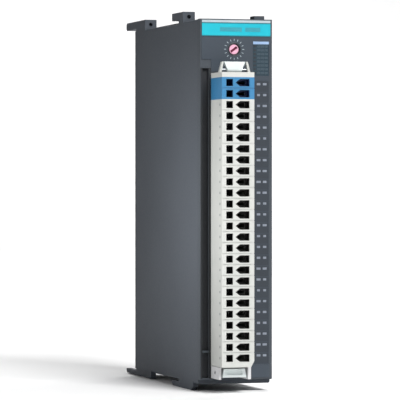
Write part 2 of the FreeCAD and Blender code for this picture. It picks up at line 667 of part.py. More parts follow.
def pull_pin():
    """Cross pin of the pull tab, held in the two arms."""
    cap_top = dim["first_way"] + (dim["ways"] - 0.5) * dim["pitch"] + dim["cap_thick"]
    return place(group("pull_pin", [rod(dim["plug_left"] + 0.6,
                                        dim["pull_thick"] / 2 - dim["pull_front"],
                                        cap_top + dim["pull_lift"], dim["pull_pin_radius"],
                                        dim["plug_width"] - 1.2, RIGHT)]))


def plug_contacts():
    """Forked contact for each way; its two leaves run beside the header pin."""
    x, half = dim["pin_middle"], dim["contact_width"] / 2
    leaf, gap = dim["contact_leaf"], dim["pin_size"] / 2 + dim["lever_play"]
    rear, front = dim["plug_insert"] - dim["plug_stand"], -dim["contact_front"]
    solids = []
    for way in range(int(dim["ways"])):
        z = dim["first_way"] + way * dim["pitch"]
        upper = block(x - half, front, z + gap, x + half, rear, z + gap + leaf)
        lower = block(x - half, front, z - gap - leaf, x + half, rear, z - gap)
        web = block(x - half, front, z - gap, x + half, front + 0.6, z + gap)
        solids.append(upper.fuse([lower, web]).removeSplitter())
    return place(group("plug_contacts", solids))


def strip_outline(points, thick):
    """Outline of a bent strip: each corner is moved out and in along its mitre."""
    sides = ([], [])
    for index, here in enumerate(points):
        before = (here - points[index - 1]).normalize() if index else None
        after = (points[index + 1] - here).normalize() if index + 1 < len(points) else None
        ahead = before or after if not (before and after) else (before + after).normalize()
        aside = FreeCAD.Vector(-ahead.y, ahead.x, 0)
        leg = before or after
        stretch = 1 / max(0.3, abs(leg.dot(ahead)))
        sides[0].append(here + aside * (thick / 2 * stretch))
        sides[1].append(here - aside * (thick / 2 * stretch))
    return sides[0] + sides[1][::-1]


def plug_springs():
    """Bent clamp spring for each way, in front of the contact."""
    corners = (("spring_tail", "spring_back"), ("spring_heel", "spring_back"),
               ("spring_nose_x", "spring_nose"), ("spring_tip_x", "spring_tip"))
    path = [FreeCAD.Vector(dim[across], -dim[ahead], 0) for across, ahead in corners]
    outline = strip_outline(path, dim["spring_thick"])
    profile = Part.Face(Part.makePolygon(outline + outline[:1]))
    spring = profile.extrude(FreeCAD.Vector(0, 0, dim["spring_width"]))
    solids = []
    for way in range(int(dim["ways"])):
        copy = spring.copy()
        level = dim["first_way"] + way * dim["pitch"] - dim["spring_width"] / 2
        copy.translate(FreeCAD.Vector(0, 0, level))
        solids.append(copy)
    return place(group("plug_springs", solids))


# ---------------------------------------------------------------- boards and what is on them

def main_board():
    """Upright board that carries the circuit, the header and the bus connector."""
    item = new_body("main_board")
    pad(item, "YZ_Plane", "board_left", "board_left + board_thick",
        rectangle("board_front", "board_low", "board_rear", "board_high"))
    pocket(item, "YZ_Plane", "board_left", "board_left + board_thick",
           *[circle(y, z, "board_screw_radius + 0.2") for y, z in STANDOFFS])
    return place(item)


def front_board():
    """Small board behind the panel, for the selector and the lights."""
    item = new_body("front_board")
    right = "case_width - wall - 0.4"
    pad(item, "XZ_Plane", "front_board_y", "front_board_y + front_board_thick",
        [("wall + 0.6", "header_high + 0.4"), ("header_right + 0.4", "header_high + 0.4"),
         ("header_right + 0.4", "lens_low - 1"), (right, "lens_low - 1"),
         (right, "case_height - wall - 0.6"), ("wall + 0.6", "case_height - wall - 0.6")])
    return place(item)


def board_link():
    """Connector that joins the front board to the main board."""
    item = new_body("board_link")
    left = "board_left + board_thick"
    pad(item, "XZ_Plane", "front_board_y + front_board_thick", "front_board_y + 8",
        rectangle(left, "board_high - link_size", f"{left} + 3", "board_high"))
    return place(item)


def board_screws():
    """Four screws that hold the main board on its standoffs."""
    face = dim["board_left"] + dim["board_thick"]
    solids = []
    for y in (dim["standoff_front"], dim["standoff_rear"]):
        for z in (dim["standoff_low"], dim["standoff_high"]):
            shank = rod(face - 7, y, z, dim["board_screw_radius"], 7, RIGHT)
            head = rod(face, y, z, dim["board_head_radius"], dim["board_head"], RIGHT)
            solids.append(shank.fuse(head).removeSplitter())
    return place(group("board_screws", solids))


def controller_chip():
    """Square processor package on the main board."""
    item = new_body("controller_chip")
    face = "board_left + board_thick"
    pad(item, "YZ_Plane", face, f"{face} + chip_thick",
        rectangle("chip_front", "chip_low", "chip_front + chip_size", "chip_low + chip_size"))
    return place(item)


def isolators():
    """Two columns of isolator packages between the terminals and the processor."""
    face = dim["board_left"] + dim["board_thick"]
    solids = []
    for column in range(int(dim["isolator_columns"])):
        for row in range(int(dim["isolator_rows"])):
            y = dim["isolator_front"] + dim["isolator_column_pitch"] * column
            z = dim["isolator_low"] + dim["isolator_row_pitch"] * row
            solids.append(block(face, y, z, face + dim["isolator_thick"],
                                y + dim["isolator_length"], z + dim["isolator_height"]))
    return place(group("isolators", solids))


def dc_converter():
    """Sealed supply block on the main board."""
    item = new_body("dc_converter")
    face = "board_left + board_thick"
    pad(item, "YZ_Plane", face, f"{face} + converter_thick",
        rectangle("converter_front", "converter_low", "converter_front + converter_length",
                  "converter_low + converter_height"))
    soften(item, "Fillet", "converter_edge", lambda edge: along(edge, RIGHT))
    return place(item)


def capacitors():
    """Three upright storage capacitors."""
    face = dim["board_left"] + dim["board_thick"]
    solids = [rod(face, dim["capacitor_y"],
                  dim["capacitor_low"] + number * dim["capacitor_pitch"],
                  dim["capacitor_radius"], dim["capacitor_tall"], RIGHT)
              for number in range(int(dim["capacitor_count"]))]
    return place(group("capacitors", solids))


def bus_connector():
    """Socket that meets the backplane through the rear cover."""
    item = new_body("bus_connector")
    left, back = "board_left + board_thick", "case_depth + bus_reach"
    pad(item, "XZ_Plane", "bus_front", back, rectangle(left, "bus_low", "bus_right", "bus_high"))
    soften(item, "Chamfer", "0.5", lambda edge: edge.CenterOfMass.y > dim["case_depth"] + 2.4)
    middle = f"({left} + bus_right) / 2"
    pocket(item, "XZ_Plane", f"{back} - bus_slot_deep", back,
           rectangle(f"{middle} - bus_slot / 2", "bus_low + 1.5",
                     f"{middle} + bus_slot / 2", "bus_high - 1.5"))
    return place(item)


def bus_contacts():
    """Two facing rows of contact blades in the bus socket."""
    middle = (dim["board_left"] + dim["board_thick"] + dim["bus_right"]) / 2
    back = dim["case_depth"] + dim["bus_reach"] - 1.5
    wall = dim["bus_slot"] / 2
    first = (dim["bus_low"] + dim["bus_high"] - (dim["bus_contacts"] - 1) * dim["bus_pitch"]) / 2
    solids = []
    for number in range(int(dim["bus_contacts"])):
        z = first + number * dim["bus_pitch"]
        for start in (middle - wall, middle + wall - 0.4):
            solids.append(block(start, back - 6, z - 0.35, start + 0.4, back, z + 0.35))
    return place(group("bus_contacts", solids))


def earth_clip():
    """Sprung metal strip that bows out of the rear cover to touch the backplane."""
    item = new_body("earth_clip")
    foot, crest = "case_depth - rear_thick - 1", "case_depth + clip_reach"
    middle = "(clip_low + clip_high) / 2"
    inner_foot, inner_crest = f"{foot} - clip_thick", f"{crest} - clip_thick"
    pad(item, "YZ_Plane", "clip_left", "clip_left + clip_width",
        [(inner_foot, "clip_low"), (foot, "clip_low"), (crest, f"{middle} - 1.5"),
         (crest, f"{middle} + 1.5"), (foot, "clip_high"), (inner_foot, "clip_high"),
         (inner_crest, f"{middle} + 1.2"), (inner_crest, f"{middle} - 1.2")])
    return place(item)


# ---------------------------------------------------------------- the whole module

def build_all():
    """Build every sub-part in the order the module goes together."""
    return [
        left_shell(), right_shell(), front_bezel(), rear_cover(), case_screws(),
        front_overlay(),
        plain_label("name_label", "name_left", "name_low", "name_right", "name_high"),
        plain_label("label_carrier", "name_left", "lip_low", "name_right", "lip_high"),
        plain_label("channel_label", "marks_left", "marks_low", "marks_right", "marks_high"),
        indicator_lens(), light_guide(), status_leds(),
        selector_body(), selector_dial(),
        terminal_header(), header_pins(), lower_lever(), lever_pin(),
        plug_body(), power_section(), plug_end_cap(), plug_contacts(), plug_springs(),
        upper_lever(), pull_pin(),
        main_board(), front_board(), board_link(), board_screws(),
        controller_chip(), isolators(), dc_converter(), capacitors(),
        bus_connector(), bus_contacts(), earth_clip(),
    ]


def check(parts):
    """Stop if any object failed or any sub-part has no sound shape."""
    doc.recompute()
    for one in doc.Objects:
        if {"Invalid", "Error"} & set(one.State):
            raise RuntimeError(f"{one.Name} failed: {one.State}")
    for one in parts:
        if one.Shape.isNull() or not one.Shape.isValid() or not one.Shape.Solids:
            raise RuntimeError(f"{one.Label} has no sound shape")


def export(parts):
    """Write one STEP file for each sub-part, named after it."""
    os.makedirs("parts", exist_ok=True)
    for one in parts:
        one.Shape.exportStep(os.path.join("parts", f"{one.Label}.step"))
        box = one.Shape.BoundBox
        print(f"{one.Label:16s} {len(one.Shape.Solids):3d} solids {one.Shape.Volume:10.1f} mm3 "
              f"X {box.XMin:7.2f}..{box.XMax:6.2f} Y {box.YMin:8.2f}..{box.YMax:6.2f} "
              f"Z {box.ZMin:7.2f}..{box.ZMax:6.2f}")


PARTS = build_all()
check(PARTS)
export(PARTS)
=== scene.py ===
import json
import logging
import math
from dataclasses import dataclass
from enum import Enum
from typing import Any

import bmesh
import bpy
import numpy as np
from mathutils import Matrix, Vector


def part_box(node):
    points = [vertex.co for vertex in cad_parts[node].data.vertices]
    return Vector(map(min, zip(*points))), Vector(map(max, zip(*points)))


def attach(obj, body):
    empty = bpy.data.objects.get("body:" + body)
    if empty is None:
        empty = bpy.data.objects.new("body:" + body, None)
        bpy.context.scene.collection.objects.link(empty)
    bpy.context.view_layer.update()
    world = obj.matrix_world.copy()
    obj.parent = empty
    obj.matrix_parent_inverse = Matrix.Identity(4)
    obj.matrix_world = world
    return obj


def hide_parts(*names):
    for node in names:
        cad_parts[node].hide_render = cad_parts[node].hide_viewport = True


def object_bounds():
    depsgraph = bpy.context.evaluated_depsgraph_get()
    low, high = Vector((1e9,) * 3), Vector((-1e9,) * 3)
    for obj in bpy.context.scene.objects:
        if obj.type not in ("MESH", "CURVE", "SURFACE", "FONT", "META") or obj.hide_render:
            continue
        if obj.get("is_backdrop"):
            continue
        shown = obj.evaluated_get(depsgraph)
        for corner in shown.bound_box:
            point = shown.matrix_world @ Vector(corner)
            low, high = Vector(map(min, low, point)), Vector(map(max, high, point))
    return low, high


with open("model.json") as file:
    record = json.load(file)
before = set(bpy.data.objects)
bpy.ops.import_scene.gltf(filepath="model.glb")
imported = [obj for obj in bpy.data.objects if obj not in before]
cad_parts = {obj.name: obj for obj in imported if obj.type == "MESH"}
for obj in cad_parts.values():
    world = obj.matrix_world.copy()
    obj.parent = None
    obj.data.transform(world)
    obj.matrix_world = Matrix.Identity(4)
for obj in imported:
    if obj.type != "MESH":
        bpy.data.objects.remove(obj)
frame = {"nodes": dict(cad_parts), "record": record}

LOG = logging.getLogger("module_looks")
MM = 0.001
Array = np.ndarray

# Numbers of the colour sockets on a mix node: its share, its two colours and its result.
MIX_SHARE, MIX_FIRST, MIX_SECOND, MIX_RESULT = 0, 6, 7, 2

# Noise stays near its middle, so these spans of it stand for the whole of a mix or a gloss.
CLOUD_LOW, CLOUD_HIGH = 0.3, 0.7
RELIEF_LOW, RELIEF_HIGH = 0.25, 0.75

# Corners nearer than the weld are one, faces that turn less than flat are one face, and edges
# that turn more than sharp are rounded. Turns are in degrees.
WELD_MM, FLAT_TURN, SHARP_TURN = 0.002, 1.0, 40.0

TERMINAL_ROWS = 26


# ------------------------------------------------------------------ the frame

def corners(node: str) -> tuple[Array, Array]:
    """Give a CAD node's box.

    Args:
        node: Name of the node.

    Returns:
        Its lowest and highest corners in metres.
    """
    low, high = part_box(node)
    return np.array(low), np.array(high)


def body_of(node: str) -> str:
    """Give the name of the rigid body that a CAD node belongs to.

    Args:
        node: Name of the node.

    Returns:
        The body's name in the record.
    """
    bodies = frame["record"]["behaviour"]["bodies"]
    return next(body for body, members in bodies.items() if node in members)


def slot_of(node: str) -> str:
    """Give the record's material slot of a CAD node.

    Args:
        node: Name of the node.

    Returns:
        The slot's name.
    """
    return next(one["material_slot"] for one in frame["record"]["subparts"] if one["node"] == node)


def row_levels() -> Array:
    """Give the heights of the terminal rows, evenly spaced from the lowest pin up.

    Returns:
        One height in metres for each row.
    """
    low, high = corners("header_pins")
    half = (high[0] - low[0]) / 2
    return np.linspace(low[2] + half, high[2] - half, TERMINAL_ROWS)


# ------------------------------------------------------------------ colours and nodes

def linear(code: str) -> tuple[float, float, float, float]:
    """Turn an sRGB hex colour to linear light.

    Each channel c above 0.04045 becomes ((c + 0.055) / 1.055) ** 2.4, and a darker one c / 12.92.

    Args:
        code: Colour such as "#3a4046".

    Returns:
        Red, green, blue and alpha, ready for a shader socket.
    """
    channel = np.array([int(code[i:i + 2], 16) / 255 for i in (1, 3, 5)])
    light = np.where(channel > 0.04045, ((channel + 0.055) / 1.055) ** 2.4, channel / 12.92)
    return (*(float(value) for value in light), 1.0)


def add_node(tree: bpy.types.NodeTree, kind: str, settings: dict[str, Any] | None = None,
             inputs: dict[Any, Any] | None = None) -> bpy.types.Node:
    """Add one node with its settings and links.

    Args:
        tree: Node tree to add to.
        kind: Node type.
        settings: Properties of the node.
        inputs: Socket names or numbers with a value, or with an output socket to link from.

    Returns:
        The new node.
    """
    node = tree.nodes.new(kind)
    for key, value in (settings or {}).items():
        setattr(node, key, value)
    for key, value in (inputs or {}).items():
        if isinstance(value, bpy.types.NodeSocket):
            tree.links.new(value, node.inputs[key])
        else:
            node.inputs[key].default_value = value
    return node


def per_metre(size_mm: float) -> float:
    """Give the texture scale whose features are about a size in millimetres."""
    return 1.0 / (size_mm * MM)


# ------------------------------------------------------------------ finishes

@dataclass(frozen=True)
class Finish:
    """A moulded plastic: a colour that drifts a little, and a fine eroded grain.

    The grain comes from the spark-eroded mould, and breaks up the highlight. It is drawn a few
    times coarser than the real tenth of a millimetre, so that it shows. The drift is the slow
    change of tone of a large moulding and of handling.
    """

    name: str
    colour: str
    shade: str
    roughness: float = 0.5
    roughness_swing: float = 0.08
    grain_mm: float = 0.45
    grain_height_mm: float = 0.02
    cloud_mm: float = 26.0
    ior: float = 1.5
    metallic: float = 0.0
    transmission: float = 0.0
    coat: float = 0.0
    specular: float = 0.5

    def pattern(self, tree: bpy.types.NodeTree, place: bpy.types.NodeSocket,
                base: bpy.types.NodeSocket) -> bpy.types.NodeSocket:
        """Add this finish's own print or figure over the base colour; plain finishes add none."""
        return base

    def relief(self, tree: bpy.types.NodeTree,
               place: bpy.types.NodeSocket) -> bpy.types.NodeSocket:
        """Give the height pattern of the surface.

        Args:
            tree: Material's node tree.
            place: Object coordinates.

        Returns:
            The height of the grain, from 0 to 1.
        """
        grain = add_node(tree, "ShaderNodeTexNoise", {},
                         {"Vector": place, "Scale": per_metre(self.grain_mm), "Detail": 3.0,
                          "Roughness": 0.6})
        return grain.outputs["Fac"]

    def build(self) -> bpy.types.Material:
        """Make the material.

        Returns:
            A node material named after the finish.
        """
        material = bpy.data.materials.new(self.name)
        material.use_nodes = True
        tree = material.node_tree
        tree.nodes.clear()
        place = add_node(tree, "ShaderNodeTexCoord").outputs["Object"]
        cloud = add_node(tree, "ShaderNodeTexNoise", {},
                         {"Vector": place, "Scale": per_metre(self.cloud_mm), "Detail": 4.0})
        tone = add_node(tree, "ShaderNodeMapRange", {},
                        {"Value": cloud.outputs["Fac"], "From Min": CLOUD_LOW,
                         "From Max": CLOUD_HIGH})
        mix = add_node(tree, "ShaderNodeMix", {"data_type": "RGBA"},
                       {MIX_SHARE: tone.outputs[0], MIX_FIRST: linear(self.colour),
                        MIX_SECOND: linear(self.shade)})
        colour = self.pattern(tree, place, mix.outputs[MIX_RESULT])
        relief = self.relief(tree, place)
        gloss = add_node(tree, "ShaderNodeMapRange", {},
                         {"Value": relief, "From Min": RELIEF_LOW, "From Max": RELIEF_HIGH,
                          "To Min": self.roughness - self.roughness_swing,
                          "To Max": self.roughness + self.roughness_swing})
        bump = add_node(tree, "ShaderNodeBump", {},
                        {"Height": relief, "Strength": 1.0,
                         "Distance": self.grain_height_mm * MM})
        shader = add_node(tree, "ShaderNodeBsdfPrincipled", {},
                          {"Base Color": colour, "Roughness": gloss.outputs[0],
                           "Normal": bump.outputs[0], "Metallic": self.metallic,
                           "IOR": self.ior, "Transmission Weight": self.transmission,
                           "Coat Weight": self.coat, "Specular IOR Level": self.specular})
        add_node(tree, "ShaderNodeOutputMaterial", {}, {"Surface": shader.outputs[0]})
        return material


@dataclass(frozen=True)
class BandedPrint(Finish):
    """Printed label: a field of ink with a darker line along its top and bottom edges."""

    line: str = "#2d7c88"
    low: float = 0.0
    high: float = 1.0
    line_mm: float = 0.35

    def pattern(self, tree: bpy.types.NodeTree, place: bpy.types.NodeSocket,
                base: bpy.types.NodeSocket) -> bpy.types.NodeSocket:
        """Darken the ink where the height is within a line's width of either edge.

        Args:
            tree: Material's node tree.
            place: Object coordinates.
            base: Colour of the ink.

        Returns:
            The colour with its edge lines.
        """
        height = add_node(tree, "ShaderNodeSeparateXYZ", {}, {0: place}).outputs[2]
        middle, half = (self.low + self.high) / 2, (self.high - self.low) / 2
        away = add_node(tree, "ShaderNodeMath", {"operation": "SUBTRACT"},
                        {0: height, 1: middle}).outputs[0]
        size = add_node(tree, "ShaderNodeMath", {"operation": "ABSOLUTE"}, {0: away}).outputs[0]
        edge = add_node(tree, "ShaderNodeMath", {"operation": "GREATER_THAN"},
                        {0: size, 1: half - self.line_mm * MM}).outputs[0]
        print_mix = add_node(tree, "ShaderNodeMix", {"data_type": "RGBA"},
                             {MIX_SHARE: edge, MIX_FIRST: base, MIX_SECOND: linear(self.line)})
        return print_mix.outputs[MIX_RESULT]


@dataclass(frozen=True)
class RuledPrint(Finish):
    """Printed strip ruled with a thin darker line between rows."""

    line: str = "#2a323c"
    pitch_mm: float = 3.96
    start: float = 0.0
    line_share: float = 0.1

    def pattern(self, tree: bpy.types.NodeTree, place: bpy.types.NodeSocket,
                base: bpy.types.NodeSocket) -> bpy.types.NodeSocket:
        """Darken a thin share of every row, counted in pitches from the start.

        Args:
            tree: Material's node tree.
            place: Object coordinates.
            base: Colour of the strip.

        Returns:
            The colour with its ruled lines.
        """
        height = add_node(tree, "ShaderNodeSeparateXYZ", {}, {0: place}).outputs[2]
        rows = add_node(tree, "ShaderNodeMath", {"operation": "MULTIPLY_ADD"},
                        {0: height, 1: per_metre(self.pitch_mm),
                         2: -self.start * per_metre(self.pitch_mm)}).outputs[0]
        part = add_node(tree, "ShaderNodeMath", {"operation": "FRACT"}, {0: rows}).outputs[0]
        ruled = add_node(tree, "ShaderNodeMath", {"operation": "LESS_THAN"},
                         {0: part, 1: self.line_share}).outputs[0]
        print_mix = add_node(tree, "ShaderNodeMix", {"data_type": "RGBA"},
                             {MIX_SHARE: ruled, MIX_FIRST: base, MIX_SECOND: linear(self.line)})
        return print_mix.outputs[MIX_RESULT]


@dataclass(frozen=True)
class DrawnMetal(Finish):
    """Rolled, drawn or plated metal: fine streaks run along its height."""

    metallic: float = 1.0
    streak_mm: float = 0.12
    streak_stretch: float = 0.06

    def relief(self, tree: bpy.types.NodeTree,
               place: bpy.types.NodeSocket) -> bpy.types.NodeSocket:
        """Squeeze noise along Z, so that its features are long streaks.

        Args:
            tree: Material's node tree.
            place: Object coordinates.

        Returns:
            The height of the streaks, from 0 to 1.
        """
        squeezed = add_node(tree, "ShaderNodeMapping", {},
                            {"Vector": place, "Scale": (1.0, 1.0, self.streak_stretch)})
        streak = add_node(tree, "ShaderNodeTexNoise", {},
                          {"Vector": squeezed.outputs[0], "Scale": per_metre(self.streak_mm),
                           "Detail": 2.0})
        return streak.outputs["Fac"]


@dataclass(frozen=True)
class SolderMask(Finish):
    """Circuit board laminate: copper tracks stand up under the green mask."""

    track: str = "#2c8a4c"
    track_mm: float = 1.27
    cell_pitches: float = 4.0
    track_share: float = 0.03
    stagger: float = 0.37

    def pattern(self, tree: bpy.types.NodeTree, place: bpy.types.NodeSocket,
                base: bpy.types.NodeSocket) -> bpy.types.NodeSocket:
        """Lighten the mask over a net of tracks drawn by the joints of a brick pattern.

        Args:
            tree: Material's node tree.
            place: Object coordinates.
            base: Colour of the mask.

        Returns:
            The colour with its tracks.
        """
        turned = add_node(tree, "ShaderNodeMapping", {},
                          {"Vector": place, "Rotation": (0.0, math.pi / 2, 0.0)})
        net = add_node(tree, "ShaderNodeTexBrick", {"offset": self.stagger},
                       {"Vector": turned.outputs[0],
                        "Scale": per_metre(self.track_mm) / self.cell_pitches,
                        "Mortar Size": self.track_share, "Color1": (0, 0, 0, 1),
                        "Color2": (0, 0, 0, 1), "Mortar": (1, 1, 1, 1)})
        mask_mix = add_node(tree, "ShaderNodeMix", {"data_type": "RGBA"},
                            {MIX_SHARE: net.outputs["Color"], MIX_FIRST: base,
                             MIX_SECOND: linear(self.track)})
        return mask_mix.outputs[MIX_RESULT]


def finishes() -> dict[str, Finish]:
    """List every finish, keyed by the record's slot or by the added piece it dresses.

    Returns:
        The finishes.
    """
    name_low, name_high = corners("name_label")
    strip_low, _ = corners("channel_label")
    return {
        # Flame-retardant PC/ABS from an eroded mould: dry, even, slightly cool charcoal.
        "case_plastic": Finish("eroded_charcoal_pc_abs", "#4f545b", "#494e55", 0.6, 0.06,
                               0.5, 0.02, 40.0, specular=0.15),
        # The front frame is a darker batch of the same resin.
        "bezel_plastic": Finish("dark_charcoal_pc_abs", "#484d53", "#43484e", 0.58, 0.06,
                                0.5, 0.02, 30.0, specular=0.2),
        # Polyester foil printed on its back: smoother than the case, and bluer.
        "panel_foil": Finish("printed_polyester_foil", "#353e48", "#323b45", 0.45, 0.05,
                             0.3, 0.006, 30.0),
        # Laminated paper print: an even, bright turquoise.
        "name_print": BandedPrint("turquoise_label_print", "#1fa6ba", "#25b1c0", 0.4, 0.04,
                                  0.3, 0.004, 8.0, specular=0.2, low=float(name_low[2]),
                                  high=float(name_high[2])),
        # Clear strip over the top edge of the label; its pale colour is a painted highlight where
        # it catches light.
        "label_lip": Finish("label_strip_painted_highlight", "#b4c0c5", "#a6b3b9", 0.3, 0.05, 0.4, 0.004, 6.0),
        # Matt insert strip, ruled at the terminal pitch.
        "channel_print": RuledPrint("ruled_channel_strip", "#262e37", "#242b34", 0.5, 0.05,
                                    0.3, 0.006, 14.0, start=float(strip_low[2])),
        # Tinted acrylic: dark slate, close to the foil, with a clearer reflection.
        "smoked_lens": Finish("smoked_acrylic", "#3a4851", "#36444d", 0.2, 0.03, 1.5, 0.002,
                              10.0, coat=0.4),
        # Cells behind the window, only just lighter than it.
        "smoked_cell": Finish("unlit_cell_print", "#3d4c55", "#394852", 0.3, 0.05, 0.3, 0.003,
                              2.0),
        # Acrylic light pipe: clear and glossy, and it bends what lies behind it.
        "clear_guide": Finish("clear_acrylic_guide", "#dfeaec", "#d5e4e8", 0.08, 0.03, 1.2,
                              0.002, 10.0, ior=1.49, transmission=0.9),
        # Light chip under an epoxy cap: pale yellow-green with a small highlight.
        "light_chip": Finish("epoxy_light_chip", "#cfe6a0", "#bddc8c", 0.2, 0.05, 0.4, 0.003,
                             2.0),
        # Glass-filled nylon: near black, and fairly even.
        "selector_black": Finish("black_filled_nylon", "#16191c", "#1c2023", 0.42, 0.08, 0.3,
                                 0.012, 6.0),
        # Acetal rotor: pale rose with a waxy sheen.
        "dial_pink": Finish("rose_acetal_rotor", "#dc98b4", "#e6b0c6", 0.32, 0.05, 0.25, 0.006,
                            2.5),
        # Unpainted nylon frame: light neutral grey with a soft sheen.
        "header_grey": Finish("light_grey_nylon", "#d2d2d3", "#c8c8ca", 0.46, 0.07, 0.4, 0.012,
                              9.0),
        # Polyamide terminal moulding: plain, slightly warm white from a fine mould.
        "terminal_white": Finish("white_polyamide", "#c5c6c2", "#bec0bc", 0.42, 0.07, 0.35,
                                 0.01, 10.0),
        # The same moulding with a blue masterbatch: an even mid blue.
        "terminal_blue": Finish("blue_polyamide", "#3a7dab", "#35759f", 0.4, 0.07, 0.35, 0.01,
                                8.0),
        # Acetal lever: brighter and cooler than the terminals.
        "lever_white": Finish("white_acetal_lever", "#dfe7e7", "#d6dede", 0.36, 0.06, 0.3,
                              0.008, 6.0),
        # Tin plate on drawn brass: soft silver with fine streaks.
        "tinned_pin": DrawnMetal("tinned_brass_pin", "#cfcdc6", "#bdbbb4", 0.32, 0.08,
                                 grain_height_mm=0.004, cloud_mm=3.0),
        # Rolled phosphor bronze: warm orange metal, streaked by the rolls.
        "copper_contact": DrawnMetal("rolled_phosphor_bronze", "#d9a066", "#c58f58", 0.3, 0.08,
                                     grain_height_mm=0.004, cloud_mm=4.0),
        # Rolled spring steel: cool bright grey, streaked by the rolls.
        "spring_steel": DrawnMetal("rolled_spring_steel", "#b5b8bb", "#a2a5a9", 0.28, 0.08,
                                   grain_height_mm=0.004, cloud_mm=4.0),
        # Glass-epoxy laminate under solder mask: deep green with paler tracks.
        "board_laminate": SolderMask("green_masked_laminate", "#1b5c34", "#174f2d", 0.35, 0.06,
                                     0.5, 0.01, 12.0),
        # Moulding compound with fine filler: dull black.
        "chip_resin": Finish("black_moulding_compound", "#1d1e20", "#26272a", 0.55, 0.1, 0.2,
                             0.012, 5.0),
        # Drawn aluminium can: bright, with fine streaks along its height.
        "can_aluminium": DrawnMetal("drawn_aluminium_can", "#c9ccd0", "#b9bcc1", 0.3, 0.07,
                                    grain_height_mm=0.005, cloud_mm=6.0),
        # Zinc plate with a faint blue passivate: bright, with fine streaks.
        "zinc_screw": DrawnMetal("zinc_plated_steel", "#b9c0c6", "#a9b1b8", 0.3, 0.08,
                                 grain_height_mm=0.006, cloud_mm=2.0),
        # Pad-printed ink on the strip: mid grey, a little uneven.
        "pale_ink": Finish("pale_pad_ink", "#7f8691", "#737a86", 0.5, 0.06, 0.2, 0.003, 1.2),
        # Pad-printed ink round the selector: light grey.
        "white_ink": Finish("white_pad_ink", "#a9b5bb", "#98a5ac", 0.5, 0.06, 0.2, 0.003, 1.2),
        # Ink of the plain name bar: soft light blue.
        "name_ink": Finish("soft_blue_ink", "#8fa8c8", "#84a0c2", 0.5, 0.06, 0.2, 0.003, 1.2),
        # Ink on the turquoise label: darker than it, and the same hue.
        "label_ink": Finish("deep_teal_ink", "#2b8c9c", "#32929f", 0.4, 0.06, 0.2, 0.003, 1.2),
        # Pad-printed ink on the white terminals: mid grey.
        "grey_ink": Finish("grey_pad_ink", "#8f9492", "#83898a", 0.5, 0.06, 0.2, 0.003, 1.2),
        # Lining of the white ways' wells: near black, painted shade of a deep hole.
        "well_black": Finish("painted_shade_white_wells", "#0d0b08", "#14110d", 0.6, 0.08, 0.3, 0.006, 2.0),
        # Lining of the blue ways' wells: dark navy, painted shade over the blue wall, which still
        # shows.
        "well_navy": Finish("painted_shade_blue_wells", "#0a1c44", "#0c2250", 0.6, 0.08, 0.3, 0.006, 2.0),
        # Black and dull: painted shade over the side channel beside the terminal header, and the
        # ink of the window's marks.
        "channel_black": Finish("black_channel_shade_and_marks", "#15181d", "#191c21", 0.65, 0.08, 0.5,
                                0.015, 12.0),
        # Floor of the rotor's slot: deep maroon, as if in its own shadow.
        "slot_maroon": Finish("shaded_rotor_slot", "#5a1030", "#6a1a3c", 0.5, 0.08, 0.2, 0.004,
                              1.0),
    }


# ------------------------------------------------------------------ surfaces in numpy

def mesh_object(name: str, points: Array, faces: Array) -> bpy.types.Object:
    """Put whole arrays of corners and faces into one mesh object at the origin.

    Args:
        name: Name of the piece.
        points: Corners, one row of three metres each.
        faces: Corner numbers, one row of four each.

    Returns:
        The object, linked to the scene.
    """
    mesh = bpy.data.meshes.new(name)
    mesh.from_pydata(points.tolist(), [], faces.tolist())
    mesh.validate()
    mesh.update()
    made = bpy.data.objects.new(name, mesh)
    bpy.context.scene.collection.objects.link(made)
    return made


BOX_CORNERS = np.array([[x, y, z] for z in (-1, 1) for y in (-1, 1) for x in (-1, 1)], float)
BOX_FACES = np.array([[0, 2, 3, 1], [4, 5, 7, 6], [0, 1, 5, 4], [2, 6, 7, 3], [0, 4, 6, 2],
                      [1, 3, 7, 5]])


def plates(name: str, centres: Array, halves: Array) -> bpy.types.Object:
    """Make many small plates as one mesh.

    Corner k of plate n is centre n plus half size n times the sign triple k.

    Args:
        name: Name of the piece.
        centres: Plate centres, one row each.
        halves: Half sizes, one row each or one for all.

    Returns:
        The mesh object.
    """
    centres = np.atleast_2d(centres)
    halves = np.broadcast_to(halves, centres.shape)
    points = centres[:, None, :] + halves[:, None, :] * BOX_CORNERS[None]
    faces = BOX_FACES[None] + 8 * np.arange(len(centres))[:, None, None]
    return mesh_object(name, points.reshape(-1, 3), faces.reshape(-1, 4))


def tubes(name: str, outlines: Array, front: float, rear: float, wall: float) -> bpy.types.Object:
    """Line many wells with thin open tubes as one mesh.

    Each outline is a closed ring in X and Z. Its inner ring is the outline drawn towards its
    own centre by the wall, and the tube's skin runs outer front, inner front, inner rear, outer
    rear and back.

    Args:
        name: Name of the piece.
        outlines: Rings of corners, shaped wells by corners by two.
        front: Y of the front end in metres.
        rear: Y of the rear end in metres.
        wall: Wall thickness in metres.

    Returns:
        The mesh object.
    """
    wells, count, _ = outlines.shape
    middle = outlines.mean(axis=1, keepdims=True)
    reach = np.linalg.norm(outlines - middle, axis=2, keepdims=True)
    inner = middle + (outlines - middle) * (1 - wall / reach)
    rings = []
    for ring, level in ((outlines, front), (inner, front), (inner, rear), (outlines, rear)):
        depth = np.full((wells, count, 1), level)
        rings.append(np.concatenate([ring[..., :1], depth, ring[..., 1:]], axis=2))
    points = np.stack(rings, axis=1).reshape(-1, 3)
    ring_number, corner = np.meshgrid(np.arange(4), np.arange(count), indexing="ij")
    following_ring, following_corner = (ring_number + 1) % 4, (corner + 1) % count
    quad = np.stack([ring_number * count + corner, following_ring * count + corner,
                     following_ring * count + following_corner,
                     ring_number * count + following_corner], axis=-1).reshape(-1, 4)
    faces = quad[None] + 4 * count * np.arange(wells)[:, None, None]
    made = mesh_object(name, points, faces.reshape(-1, 4))
    outward(made)
    return made


